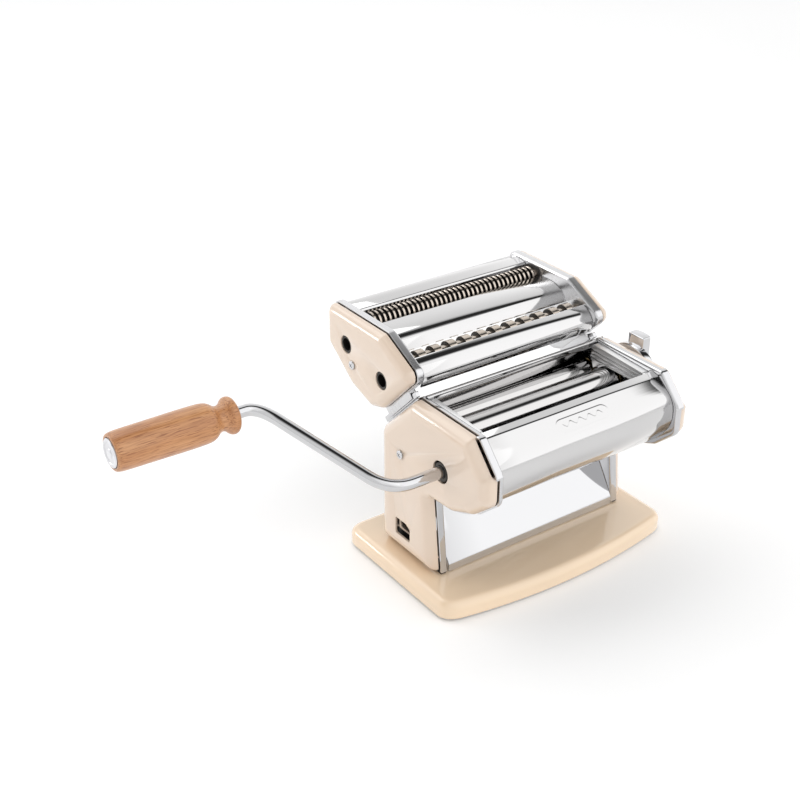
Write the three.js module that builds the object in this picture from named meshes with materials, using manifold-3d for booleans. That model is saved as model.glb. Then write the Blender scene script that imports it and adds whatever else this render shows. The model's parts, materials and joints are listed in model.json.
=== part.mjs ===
// Manual pasta roller machine: a pressed base, two side plates with painted
// covers, a pair of smooth rollers with an adjustable gap, a removable cutter
// attachment with a fine and a wide pair of cutting rollers, and a crank.
//
// Millimetres. +X runs along the rollers, away from the crank; +Z is up; the
// front of the machine faces -Y. The origin is the centre of the underside.

import * as THREE from "three";
import { mergeVertices } from "three/addons/utils/BufferGeometryUtils.js";
import Module from "manifold-3d";

const wasm = await Module();
wasm.setup();

// ---------------------------------------------------------------- dimensions

const GAP = 0.3; // clearance left between pieces that touch

// Widths along X, as half widths
const SPAN = 75; // inner face of a side plate: a 150 mm pasta sheet
const WEB = 1.5; // steel thickness of a side plate
const RIM = 81.2; // outer edge of the rim folded round a side plate
const FACE = 89; // outer face of a painted side cover
const SHEET_END = SPAN - GAP;
const COVER_WALL = 1.6;

// Base: an upside-down pressed tray on a rubber mat
const BASE = { half: 100.2, rear: 66, front: -66.2, bow: 441, low: 1.6, top: 14 };
const BASE_CORNER = 13;
const BASE_ROUND = 6;
const BASE_WALL = 2.2;
const MAT_TOP = 4;

// Side view (y, z, corner radius) of the main side plate's rim
const MAIN_SIDE = [
  [4, 139.5, 5],
  [-61, 139.4, 5],
  [-77.6, 121.5, 2],
  [-79.3, 118.5, 2],
  [-79.3, 98.5, 9],
  [-61, 82.4, 10],
  [-41, 74, 22],
  [-17.4, 72.8, 3],
  [-24.4, 14.4, 1],
  [39.5, 14.4, 1],
  [39.5, 105, 8],
];
// Painted cover of the same side, set back further behind the front wing
const MAIN_COVER = [
  [3.6, 138.4, 5],
  [-57.5, 138.3, 5],
  [-74.6, 119.6, 2],
  [-78.2, 117.6, 2],
  [-78.2, 99, 9],
  [-60.4, 83.4, 10],
  [-40.8, 75.2, 22],
  [-16.4, 74, 3],
  [-22.6, 17.4, 2],
  [38.5, 17.4, 2],
  [38.5, 104.6, 8],
];
// Side view of the cutter attachment's plate
const CUTTER_SIDE = [
  [104.5, 173.4, 6],
  [38, 173.4, 5],
  [5, 157.2, 5],
  [4.2, 149.8, 3],
  [37.9, 116.1, 8],
  [50, 112.3, 8],
  [74, 119.6, 10],
  [104.5, 142.5, 8],
];
const CUTTER_COVER_INSET = 1;
const COVER_ROUND = 5;

// Smooth rollers. The rear one slides towards the front one.
const ROLLER = { r: 12.2, half: 72.5, journal: 4 };
const FRONT_AXIS = [-14, 112];
const GAP_OPEN = 2.1;
const GAP_TRAVEL = 1.8;
const NIP_ANGLE = (-10 * Math.PI) / 180; // the rear roller lies a little lower
const fromFront = (distance) => [
  FRONT_AXIS[0] + distance * Math.cos(NIP_ANGLE),
  FRONT_AXIS[1] + distance * Math.sin(NIP_ANGLE),
];
const REAR_AXIS = fromFront(2 * ROLLER.r + GAP_OPEN);
const REAR_CLOSED = fromFront(2 * ROLLER.r + GAP_OPEN - GAP_TRAVEL);
const BORE_SLACK = 0.3;
const CRANK_AXIS = [-31.6, 103];

// Spur gears with long teeth, so that they stay in mesh as the gap opens
const GEAR_IN = 78.6;
const GEAR_OUT = 83.6;
const ROLLER_TEETH = { teeth: 12, root: 9.8, tip: 13.8 };
const PINION_TEETH = { teeth: 8, root: 5.6, tip: 9.3 };
const CUTTER_TEETH = { teeth: 8, root: 4.7, tip: 7.4 };
const CUTTER_GEAR_OUT = 82;
const TOOTH_AT_ROOT = 0.5; // tooth width as a share of the pitch
const TOOTH_AT_TIP = 0.18;
const SOCKET = 4.6; // radius of a socket that takes the end of the crank

// Crank: two bends, then the spindle of the wooden grip
const ROD = 4.2;
const ROD_END = -78.4;
const ELBOW = -128;
const GRIP_AXIS = [59.9, 135.7];
const SHOULDER = -170;
const SPINDLE_END = -266;
const BEND = 17.5;
const GRIP_NEAR = -187;
const GRIP = [
  // distance from the near end, radius
  [0, 10.2],
  [1.2, 12.2],
  [3.4, 12.8],
  [5.8, 12.2],
  [7.4, 10],
  [10.5, 8.5],
  [14, 9.2],
  [17, 12],
  [21, 13.3],
  [30, 13.6],
  [80, 13.1],
  [84.5, 12.5],
  [86, 11.7],
];
const GRIP_BORE = 4.4;
const CAP = { from: 82, to: 86.8, r: 9.8, edge: 11.2 };

// Gap dial on the right-hand side, in line with the front roller
const DIAL = { r: 24, from: 92, to: 99 };
const WING = { half: 7.5, low: -15, top: 30.5, in: 96.3, out: 103.6, bulge: 3 };
const DIAL_SHAFT = { r: 4, from: 79.4, to: 102 };
const SPRING_ROOM = { r: 6.6, from: 93.2, to: 101.2 };
const CAM = { from: 80, to: 84, high: 9.5, relief: 7, turn: 150 };
const FOLLOWER_R = 2.5;

// Cutter rollers: wheels of one roller stand in the grooves of its mate
const CUTTER = { r: 7.2, groove: 4.8, journal: 3.5 };
const FINE = { drive: [78, 150.5], mate: [76.5, 162.8], pitch: 4, sides: 6 };
const WIDE = { drive: [35.6, 140.5], mate: [29.3, 151.13], pitch: 13, sides: 10 };
const CUTTER_HALF = 72;
const CUTTER_TIE = [56, 125];

// Sloping rail on each main side plate and the channel that rides on it
const RAIL_SUM = 144.5; // y + z on the sloping face of the main plate
const RAIL = { low: 0.4, high: 4.4, in: 76.6, out: 79.6, from: -92, to: -43 };
const CHANNEL = { low: 1.2, high: 9, from: -87, to: -52 };

// Clamp socket in the left leg (y, z, corner radius)
const CLAMP_HOLE = [
  [2, 28.8, 1],
  [19, 28.8, 1],
  [19, 42, 1],
  [6.8, 42, 1],
  [2, 39.6, 1],
];
const LOWER_ROD = [24, 31];
const UPPER_ROD = [30, 62];
const TIE = 4;

// ----------------------------------------------------------------- materials

const paint = (colour, roughness, metalness) =>
  new THREE.MeshStandardMaterial({ color: colour, roughness, metalness });
const cream = paint(0xeedcc0, 0.28, 0);
const chrome = paint(0xd9dadc, 0.1, 1);
const steel = paint(0xb9babd, 0.3, 1);
const brass = paint(0xb89a5a, 0.35, 1);
const beech = paint(0xc98a52, 0.5, 0);
const rubber = paint(0x1d1d1f, 0.85, 0);
const nylon = paint(0xe9e7e0, 0.45, 0);

// ------------------------------------------------------------- solid helpers

function toSolid(geometry) {
  const bare = geometry.index ? geometry.toNonIndexed() : geometry.clone();
  bare.deleteAttribute("normal");
  bare.deleteAttribute("uv");
  const merged = mergeVertices(bare, 1e-4);
  return new wasm.Manifold(
    new wasm.Mesh({
      numProp: 3,
      vertProperties: merged.attributes.position.array,
      triVerts: new Uint32Array(merged.index.array),
    }),
  );
}

function toGeometry(solid) {
  const mesh = solid.getMesh();
  const geometry = new THREE.BufferGeometry();
  geometry.setAttribute("position", new THREE.BufferAttribute(mesh.vertProperties, 3));
  geometry.setIndex(new THREE.BufferAttribute(mesh.triVerts, 1));
  geometry.computeVertexNormals();
  return geometry;
}

function cut(geometry, ...tools) {
  let solid = toSolid(geometry);
  for (const tool of tools) solid = solid.subtract(toSolid(tool));
  return toGeometry(solid);
}

function join(geometry, ...others) {
  let solid = toSolid(geometry);
  for (const other of others) solid = solid.add(toSolid(other));
  return toGeometry(solid);
}

// Closed outline from corners [a, b, radius], each corner rounded off
function roundedShape(corners) {
  const shape = new THREE.Shape();
  corners.forEach(([a, b, radius], i) => {
    const [pa, pb] = corners[(i + corners.length - 1) % corners.length];
    const [na, nb] = corners[(i + 1) % corners.length];
    const corner = new THREE.Vector2(a, b);
    const back = new THREE.Vector2(pa, pb).sub(corner).normalize();
    const ahead = new THREE.Vector2(na, nb).sub(corner).normalize();
    const reach = radius / Math.tan(Math.acos(back.dot(ahead)) / 2);
    const enter = back.multiplyScalar(reach).add(corner);
    const leave = ahead.multiplyScalar(reach).add(corner);
    if (i === 0) shape.moveTo(enter.x, enter.y);
    else shape.lineTo(enter.x, enter.y);
    shape.quadraticCurveTo(a, b, leave.x, leave.y);
  });
  shape.closePath();
  return shape;
}

// The same outline moved inwards by a distance
function inset(corners, distance) {
  const points = corners.map(([a, b]) => new THREE.Vector2(a, b));
  const side = THREE.ShapeUtils.isClockWise(points) ? -1 : 1;
  const count = points.length;
  return corners.map(([, , radius], i) => {
    const corner = points[i];
    const inwards = [points[(i + count - 1) % count], points[(i + 1) % count]]
      .map((end, k) => end.clone().sub(corner).multiplyScalar(k ? 1 : -1).normalize())
      .map((along) => new THREE.Vector2(-along.y, along.x).multiplyScalar(side));
    const [before, after] = inwards;
    const miter = before.clone().add(after);
    miter.multiplyScalar(distance / (1 + before.dot(after)));
    const convex = side * before.cross(after) > 0;
    const nextRadius = Math.max(0.5, radius + (convex ? -distance : distance));
    return [corner.x + miter.x, corner.y + miter.y, nextRadius];
  });
}

// Closed outline of a bent sheet that follows a path of [a, b] points
function sheetShape(path, thickness) {
  const points = path.map(([a, b]) => new THREE.Vector2(a, b));
  const normals = points.slice(1).map((end, i) => {
    const along = end.clone().sub(points[i]).normalize();
    return new THREE.Vector2(-along.y, along.x);
  });
  const offsets = points.map((point, i) => {
    const before = normals[Math.max(0, i - 1)];
    const after = normals[Math.min(normals.length - 1, i)];
    const miter = before.clone().add(after);
    return miter.multiplyScalar(thickness / 2 / (1 + before.dot(after)));
  });
  const upper = points.map((point, i) => point.clone().add(offsets[i]));
  const lower = points.map((point, i) => point.clone().sub(offsets[i]));
  return new THREE.Shape([...upper, ...lower.reverse()]);
}

function circleShape([a, b], radius) {
  return new THREE.Shape().absarc(a, b, radius, 0, 2 * Math.PI);
}

function toothedShape({ teeth, root, tip }, phase) {
  const pitch = (2 * Math.PI) / teeth;
  const profile = [
    [-TOOTH_AT_ROOT / 2, root],
    [-TOOTH_AT_TIP / 2, tip],
    [TOOTH_AT_TIP / 2, tip],
    [TOOTH_AT_ROOT / 2, root],
  ];
  const points = [];
  for (let tooth = 0; tooth < teeth; tooth += 1) {
    for (const [share, radius] of profile) {
      const angle = phase + (tooth + share) * pitch;
      points.push(new THREE.Vector2(radius * Math.cos(angle), radius * Math.sin(angle)));
    }
  }
  return new THREE.Shape(points);
}

// Angle of a mating gear's first tooth, so that it stands in a gap
function matingPhase(first, firstPhase, centre, mate, mateCentre) {
  const line = Math.atan2(mateCentre[1] - centre[1], mateCentre[0] - centre[0]);
  const pitch = (2 * Math.PI) / first.teeth;
  const tooth = firstPhase + Math.round((line - firstPhase) / pitch) * pitch;
  const gap = line + Math.PI - ((tooth - line) * first.teeth) / mate.teeth;
  return gap + Math.PI / mate.teeth;
}

// Side-view outline extruded along X. Local axes: x = Y, y = Z, z = X.
const SIDE_AXES = new THREE.Matrix4().makeBasis(
  new THREE.Vector3(0, 1, 0),
  new THREE.Vector3(0, 0, 1),
  new THREE.Vector3(1, 0, 0),
);

function sideSolid(shape, from, to, curveSegments = 2) {
  const depth = Math.abs(to - from);
  const geometry = new THREE.ExtrudeGeometry(shape, {
    depth,
    bevelEnabled: false,
    curveSegments,
  });
  geometry.translate(0, 0, Math.min(from, to));
  return geometry.applyMatrix4(SIDE_AXES);
}

function sideRod(centre, radius, from, to, segments = 12) {
  return sideSolid(circleShape(centre, radius), from, to, segments);
}

// Solid of revolution about an axis along X, from [x, radius] points
function turned([y, z], profile, segments) {
  const points = profile.map(([x, radius]) => new THREE.Vector2(radius, x));
  const geometry = new THREE.LatheGeometry(points, segments);
  geometry.rotateZ(-Math.PI / 2);
  return geometry.translate(0, y, z);
}

const machine = new THREE.Group();

function add(name, geometry, material, group = machine) {
  const mesh = new THREE.Mesh(geometry, material);
  mesh.name = name;
  group.add(mesh);
  return mesh;
}

// -------------------------------------------------------------- base and mat

function baseShape(distance) {
  const half = BASE.half - distance;
  const corner = BASE_CORNER - distance;
  const bow = BASE.bow - distance;
  const centre = BASE.front + BASE.bow;
  const rear = BASE.rear - distance;
  const nose = (x) => centre - Math.sqrt(bow * bow - x * x);
  const turnX = half - corner;
  const spread = Math.asin(turnX / bow);
  const shape = new THREE.Shape();
  shape.moveTo(-turnX, rear);
  shape.quadraticCurveTo(-half, rear, -half, rear - corner);
  shape.lineTo(-half, nose(turnX) + corner);
  shape.quadraticCurveTo(-half, nose(half), -turnX, nose(turnX));
  shape.absarc(0, centre, bow, -Math.PI / 2 - spread, -Math.PI / 2 + spread);
  shape.quadraticCurveTo(half, nose(half), half, nose(turnX) + corner);
  shape.lineTo(half, rear - corner);
  shape.quadraticCurveTo(half, rear, turnX, rear);
  shape.closePath();
  return shape;
}

function slab(distance, low, high, round = 0) {
  const geometry = new THREE.ExtrudeGeometry(baseShape(distance + round), {
    depth: high - low - round,
    bevelEnabled: round > 0,
    bevelSize: round,
    bevelThickness: round,
    bevelSegments: 2,
    curveSegments: 4,
  });
  return geometry.translate(0, 0, low);
}

const SCREW_SPOT = [78.6, 8];
const SCREW_R = 1.6;

function uprightRod(x, y, radius, low, high) {
  const geometry = new THREE.CylinderGeometry(radius, radius, high - low, 10);
  geometry.rotateX(Math.PI / 2);
  return geometry.translate(x, y, (low + high) / 2);
}

function buildBase() {
  const below = new THREE.BoxGeometry(300, 300, 40);
  below.translate(0, 0, BASE.low - 20);
  const hollow = slab(BASE_WALL, BASE.low - 8, BASE.top - BASE_WALL);
  const holes = [-1, 1].map((side) =>
    uprightRod(side * SCREW_SPOT[0], SCREW_SPOT[1], SCREW_R + GAP, 5, 20),
  );
  const tray = cut(slab(0, BASE.low - 1, BASE.top, BASE_ROUND), below, hollow, ...holes);
  add("base_plate", tray, cream);
  add("base_mat", slab(BASE_WALL + GAP, 0, MAT_TOP), rubber);
  for (const [side, name] of [[-1, "left"], [1, "right"]]) {
    const x = side * SCREW_SPOT[0];
    const head = uprightRod(x, SCREW_SPOT[1], 3.2, 8.8, BASE.top - BASE_WALL - GAP);
    const shank = uprightRod(x, SCREW_SPOT[1], SCREW_R, 9, 17);
    add(name + "_base_screw", join(head, shank), steel);
  }
}

// ------------------------------------------------- side plates and covers

// A pressed plate: a flat web with a rim folded outwards all round it
function pressedPlate(corners, side) {
  const outer = sideSolid(roundedShape(corners), side * SPAN, side * RIM);
  const inner = roundedShape(inset(corners, WEB));
  return cut(outer, sideSolid(inner, side * (SPAN + WEB), side * (RIM + 1)));
}

// A painted cover: a dished shell with rounded edges, open towards the plate
function dishedCover(corners, side) {
  const rounded = (distance, face, round) => {
    const depth = face - RIM - round;
    const geometry = new THREE.ExtrudeGeometry(
      roundedShape(inset(corners, distance + round)),
      {
        depth: 2 * depth,
        bevelEnabled: true,
        bevelSize: round,
        bevelThickness: round,
        bevelSegments: 2,
        curveSegments: 2,
      },
    );
    geometry.translate(0, 0, face - round - 2 * depth);
    if (side < 0) geometry.translate(0, 0, -2 * face + 2 * depth + 2 * round);
    return geometry.applyMatrix4(SIDE_AXES);
  };
  const shell = cut(
    rounded(0, FACE, COVER_ROUND),
    rounded(COVER_WALL, FACE - COVER_WALL, COVER_ROUND - COVER_WALL),
  );
  const behind = new THREE.BoxGeometry(60, 400, 400);
  behind.translate(side * (RIM + GAP - 30), 0, 100);
  return cut(shell, behind);
}

// A box cut through sheet metal between two X positions
function through(corners, side) {
  return sideSolid(roundedShape(corners), side * (SPAN - 5), side * (FACE + 5));
}

const SLOT = { y: 9.8, z: 8.8 }; // half size of the slot for a bearing block
const BLOCK = { y: 8.5, z: 8.2 };
const BUSH = 7;
const BUSH_BORE = 4.3;
const LEFT_SCREW = [13, 94.5];
const CUTTER_SCREW = [70.3, 138];

function blockSlot(side) {
  const middle = (REAR_AXIS[0] + REAR_CLOSED[0]) / 2;
  const height = (REAR_AXIS[1] + REAR_CLOSED[1]) / 2;
  const [low, high] = [height - SLOT.z, height + SLOT.z];
  return through(
    [
      [middle - SLOT.y, low, 0.5],
      [middle + SLOT.y, low, 0.5],
      [middle + SLOT.y, high, 0.5],
      [middle - SLOT.y, high, 0.5],
    ],
    side,
  );
}

function buildMainSide(side, name) {
  const bore = (centre, radius) =>
    sideRod(centre, radius, side * (SPAN - 2), side * (FACE + 2), 10);
  const foot = uprightRod(side * SCREW_SPOT[0], SCREW_SPOT[1], SCREW_R + GAP, 10, 25);
  const plateCuts = [
    bore(FRONT_AXIS, BUSH + GAP),
    bore(LOWER_ROD, TIE + GAP),
    bore(UPPER_ROD, TIE + GAP),
    blockSlot(side),
    foot,
  ];
  const coverCuts = [bore(LEFT_SCREW, 2)];
  if (side < 0) {
    plateCuts.push(bore(CRANK_AXIS, BUSH + GAP), through(CLAMP_HOLE, side));
    coverCuts.push(bore(CRANK_AXIS, 8), through(CLAMP_HOLE, side));
  } else {
    coverCuts.push(bore(FRONT_AXIS, 6.4));
  }
  add(name + "_side_plate", cut(pressedPlate(MAIN_SIDE, side), ...plateCuts), chrome);
  add(name + "_side_cover", cut(dishedCover(MAIN_COVER, side), ...coverCuts), cream);
  add(name + "_cover_screw", coverScrew(LEFT_SCREW, side), steel);
  add(name + "_roller_bush", ringBush(FRONT_AXIS, side), brass);
  add(name + "_rail", railBar(side), chrome);
  add(name + "_dough_guide", doughGuide(side), chrome);
}

function coverScrew(centre, side) {
  const head = sideRod(centre, 3.2, side * (FACE + GAP), side * (FACE + 1.6), 10);
  const shank = sideRod(centre, SCREW_R, side * (GEAR_OUT + 1), side * (FACE + 1), 6);
  return join(head, shank);
}

function ringBush(centre, side) {
  const ring = sideRod(centre, BUSH, side * (SPAN - 1.8), side * (SPAN + 3), 10);
  return cut(ring, sideRod(centre, BUSH_BORE, side * 60, side * 90, 10));
}

// ------------------------------------------------------ rails on the slope

// Outline of a bar that lies along the slope: heights above the slope and
// distances along it, turned into side-view points
function slopeCorners(low, high, from, to) {
  const base = RAIL_SUM / Math.SQRT2;
  const spot = (along, above) => [
    (base + above + along) / Math.SQRT2,
    (base + above - along) / Math.SQRT2,
    0.4,
  ];
  return [spot(from, low), spot(to, low), spot(to, high), spot(from, high)];
}

function railBar(side) {
  const bar = roundedShape(slopeCorners(RAIL.low, RAIL.high, RAIL.from, RAIL.to));
  return sideSolid(bar, side * RAIL.in, side * RAIL.out, 1);
}

function railChannel(side) {
  const { low, high, from, to } = CHANNEL;
  const block = roundedShape(slopeCorners(low, high, from, to));
  const groove = roundedShape(slopeCorners(-3, RAIL.high + 1, from - 5, to + 5));
  return cut(
    sideSolid(block, side * SPAN, side * RIM, 1),
    sideSolid(groove, side * (RAIL.in - 0.4), side * (RAIL.out + 0.4), 1),
  );
}

// ---------------------------------------------------- guides for the dough

const GUIDE = { in: 69.5, low: 119, top: 137.2, front: -50, rear: 1.6 };
const GUIDE_RIDGES = [126.5, 129.5, 132.5];

function doughGuide(side) {
  const middle = FRONT_AXIS[0] + ROLLER.r + 1;
  const outline = [
    [GUIDE.front, 125.4, 1],
    [middle - 8, 125.4, 1],
    [middle, GUIDE.low, 0.6],
    [GUIDE.rear, 125.4, 1],
    [GUIDE.rear, GUIDE.top, 2],
    [GUIDE.front, 135, 2],
  ];
  const plate = sideSolid(roundedShape(outline), side * GUIDE.in, side * SHEET_END, 1);
  const clearances = [FRONT_AXIS, REAR_AXIS, REAR_CLOSED];
  const grooves = GUIDE_RIDGES.map((z) => {
    const groove = new THREE.BoxGeometry(2, 80, 1.1);
    return groove.translate(side * GUIDE.in, -20, z);
  });
  return cut(
    plate,
    ...clearances.map((axis) => sideRod(axis, ROLLER.r + 0.4, side * 60, side * 80, 12)),
    ...grooves,
  );
}

// ---------------------------------------------------------- sheet covers

function crossSheet(path, thickness) {
  return sideSolid(sheetShape(path, thickness), -SHEET_END, SHEET_END);
}

const FRONT_SHEET = [
  [-53, 136.4],
  [-58.4, 135.2],
  [-70.4, 126],
  [-73.6, 121.4],
  [-75, 115.5],
  [-74.8, 108.5],
  [-72, 101],
  [-66, 93],
  [-59, 86],
  [-50, 80.4],
  [-40, 77],
];
const REAR_SHEET = [
  [11, 121.5],
  [2.9, 134.4],
  [2.9, 138],
  [5.6, 137.2],
  [36, 106.4],
  [37.4, 103],
  [37.4, 74],
];
const CHUTE = [
  [-24, 14.6],
  [-24, 20.4],
  [16, 82],
  [35.6, 82],
];
const FRONT_BLADE = [
  [-38, 90],
  [-33, 95],
  [-23.3, 102.3],
];

function buildSheets() {
  add("front_cover", crossSheet(FRONT_SHEET, 1.2), chrome);
  add("rear_cover", crossSheet(REAR_SHEET, 1.2), chrome);
  add("chute", crossSheet(CHUTE, 1), chrome);
  add("front_scraper", crossSheet(FRONT_BLADE, 0.8), steel);
  const rodEnd = SPAN + WEB + 1;
  add("lower_tie_rod", sideRod(LOWER_ROD, TIE, -rodEnd, rodEnd, 10), chrome);
  add("upper_tie_rod", sideRod(UPPER_ROD, TIE, -rodEnd, rodEnd, 10), steel);
}

// ------------------------------------------------ smooth rollers and gears

function rollerProfile(leftEnd, rightEnd) {
  const { r, half, journal } = ROLLER;
  return [
    [leftEnd, 0],
    [leftEnd, journal],
    [-half, journal],
    [-half, r - 0.8],
    [-half + 0.8, r],
    [half - 0.8, r],
    [half, r - 0.8],
    [half, journal],
    [rightEnd, journal],
    [rightEnd, 0],
  ];
}

function rollerGear(phase, [y, z]) {
  const wheel = sideSolid(toothedShape(ROLLER_TEETH, phase), -GEAR_OUT, -GEAR_IN);
  const bore = sideRod([0, 0], ROLLER.journal + BORE_SLACK, -90, -70, 10);
  return cut(wheel, bore).translate(0, y, z);
}

function buildSmoothRollers() {
  const journalEnd = -GEAR_OUT - 1;
  add("front_roller", turned(FRONT_AXIS, rollerProfile(journalEnd, 78.2), 24), chrome);
  add("rear_roller", turned(REAR_AXIS, rollerProfile(journalEnd, 78.8), 24), chrome);
  const rearPhase = matingPhase(ROLLER_TEETH, 0, FRONT_AXIS, ROLLER_TEETH, REAR_AXIS);
  add("front_roller_gear", rollerGear(0, FRONT_AXIS), steel);
  add("rear_roller_gear", rollerGear(rearPhase, REAR_AXIS), steel);
}

// Round mouth of a crank socket, outside the gear, on a neck that clears teeth
function socketMouth(radius, gearOut, neckRadius) {
  const neck = sideRod([0, 0], neckRadius, -gearOut + 0.5, -gearOut - 1, 10);
  return join(neck, sideRod([0, 0], radius, -gearOut - 0.5, -FACE + 0.6, 12));
}

// Pinion with a socket for the crank, held by a bush in the left plate
function buildDrivePinion() {
  const phase = matingPhase(ROLLER_TEETH, 0, FRONT_AXIS, PINION_TEETH, CRANK_AXIS);
  const teeth = sideSolid(toothedShape(PINION_TEETH, phase), -GEAR_OUT, -GEAR_IN);
  const spigot = sideRod([0, 0], 5.4, -SPAN - 1, -GEAR_IN - 1, 10);
  const socket = sideRod([0, 0], SOCKET, -FACE - 2, -77.6, 10);
  const pinion = cut(join(teeth, socketMouth(6.6, GEAR_OUT, SOCKET + 1), spigot), socket);
  add("drive_pinion", pinion.translate(0, ...CRANK_AXIS), steel);
  const ring = sideRod(CRANK_AXIS, BUSH, -SPAN, -SPAN - 3, 10);
  const bush = cut(ring, sideRod(CRANK_AXIS, 5.7, -60, -90, 10));
  add("pinion_bush", bush, brass);
}

// ------------------------------------------- carriage of the rear roller

const YOKE = { in: 73, out: 74.4, bar: 28.4, barHalf: 1.2, low: 86, high: 102 };
const FOLLOWER = fromFront(CAM.high + GAP + FOLLOWER_R);
const ARM = { half: 3.2, in: 79.2, out: 79.7 };
const REAR_BLADE = [
  [26.2, 87.5],
  [24.8, 92.6],
  [20, 97.2],
];

function bearingBlock(side, inner, outer) {
  const [y, z] = REAR_AXIS;
  const corners = [
    [y - BLOCK.y, z - BLOCK.z, 1],
    [y + BLOCK.y, z - BLOCK.z, 1],
    [y + BLOCK.y, z + BLOCK.z, 1],
    [y - BLOCK.y, z + BLOCK.z, 1],
  ];
  return sideSolid(roundedShape(corners), side * inner, side * outer, 1);
}

function buildCarriage() {
  const [y, z] = REAR_AXIS;
  const bore = (side) => sideRod(REAR_AXIS, BUSH_BORE, side * 60, side * 90, 10);
  const left = cut(bearingBlock(-1, YOKE.out + GAP, GEAR_IN - 0.5), bore(-1));
  add("left_bearing_block", left, brass);
  const arm = sideSolid(sheetShape([FOLLOWER, REAR_AXIS], 2 * ARM.half), ARM.in, ARM.out + 1);
  const pin = sideRod(FOLLOWER, FOLLOWER_R, ARM.in, CAM.to, 8);
  const block = bearingBlock(1, YOKE.out + GAP, ARM.out);
  add("right_bearing_block", cut(join(block, arm, pin), bore(1)), brass);

  const bar = new THREE.BoxGeometry(2 * YOKE.out, 2 * YOKE.barHalf, YOKE.high - YOKE.low);
  bar.translate(0, YOKE.bar, (YOKE.low + YOKE.high) / 2);
  const arms = [-1, 1].map((side) => {
    const strap = roundedShape([
      [y - 7, z - 7, 2],
      [YOKE.bar - 8, YOKE.low, 2],
      [YOKE.bar + YOKE.barHalf, YOKE.low, 0.2],
      [YOKE.bar + YOKE.barHalf, YOKE.high, 2],
      [y + 7, z + 7, 2],
      [y - 7, z + 7, 2],
    ]);
    const plate = sideSolid(strap, side * YOKE.in, side * YOKE.out, 2);
    return cut(plate, bore(side));
  });
  add("gap_yoke", join(bar, ...arms), steel);
  const blade = sideSolid(sheetShape(REAR_BLADE, 0.8), -ROLLER.half, ROLLER.half);
  add("rear_scraper", blade, steel);
}

// ---------------------------------------------------------------- gap dial

// Spiral cam: its radius falls evenly over the dial's turn
function camShape() {
  const points = [];
  for (let angle = -30; angle < 330; angle += 15) {
    const working = angle <= CAM.turn + 30;
    const radius = working ? CAM.high - (GAP_TRAVEL * angle) / CAM.turn : CAM.relief;
    const spot = NIP_ANGLE - THREE.MathUtils.degToRad(angle);
    points.push(new THREE.Vector2(radius * Math.cos(spot), radius * Math.sin(spot)));
  }
  return new THREE.Shape(points.reverse());
}

function buildDial() {
  const [y, z] = FRONT_AXIS;
  const bore = DIAL_SHAFT.r + BORE_SLACK;
  add("dial_shaft", sideRod(FRONT_AXIS, DIAL_SHAFT.r, DIAL_SHAFT.from, DIAL_SHAFT.to, 10), steel);
  const cam = cut(
    sideSolid(camShape(), CAM.from, CAM.to),
    sideRod([0, 0], bore, CAM.from - 1, CAM.to + 1, 10),
  );
  add("gap_cam", cam.translate(0, y, z), steel);
  const ring = sideRod(FRONT_AXIS, 6, CAM.to + GAP, FACE + 0.8, 10);
  add("dial_bush", cut(ring, sideRod(FRONT_AXIS, bore, 60, 120, 10)), nylon);

  const disc = [
    [DIAL.from, 0],
    [DIAL.from, DIAL.r - 1],
    [DIAL.from + 1, DIAL.r],
    [DIAL.to - 2, DIAL.r],
    [DIAL.to, DIAL.r - 3],
    [DIAL.to, 0],
  ];
  const room = sideRod([0, 0], SPRING_ROOM.r, SPRING_ROOM.from, SPRING_ROOM.to, 12);
  const shaftHole = sideRod([0, 0], bore, 80, DIAL_SHAFT.to + GAP, 10);
  const knob = cut(join(turned([0, 0], disc, 28), knobWing()), room, shaftHole);
  add("dial_knob", knob.translate(0, y, z), chrome);
  add("knob_spring", knobSpring().translate(0, y, z), steel);
}

// Grip bar across the knob, with a bowed outer face
function knobWing() {
  const shape = new THREE.Shape();
  shape.moveTo(WING.in, -WING.half);
  shape.lineTo(WING.out, -WING.half);
  shape.quadraticCurveTo(WING.out + WING.bulge, 0, WING.out, WING.half);
  shape.lineTo(WING.in, WING.half);
  shape.closePath();
  const geometry = new THREE.ExtrudeGeometry(shape, {
    depth: WING.top - WING.low,
    bevelEnabled: false,
    curveSegments: 6,
  });
  return geometry.translate(0, 0, WING.low);
}

// Coil spring round the dial shaft, drawn as short as a pulled knob leaves it
function knobSpring() {
  const turns = 2;
  const wire = 0.45;
  const coil = new THREE.Curve();
  coil.getPoint = (t, target = new THREE.Vector3()) => {
    const angle = 2 * Math.PI * turns * t;
    return target.set(97.8 + 2.8 * t, 5.5 * Math.cos(angle), 5.5 * Math.sin(angle));
  };
  const section = new THREE.Shape().absarc(0, 0, wire, 0, 2 * Math.PI);
  return new THREE.ExtrudeGeometry(section, {
    extrudePath: coil,
    steps: 28,
    curveSegments: 2,
  });
}

// ------------------------------------------------------------------- crank

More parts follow.
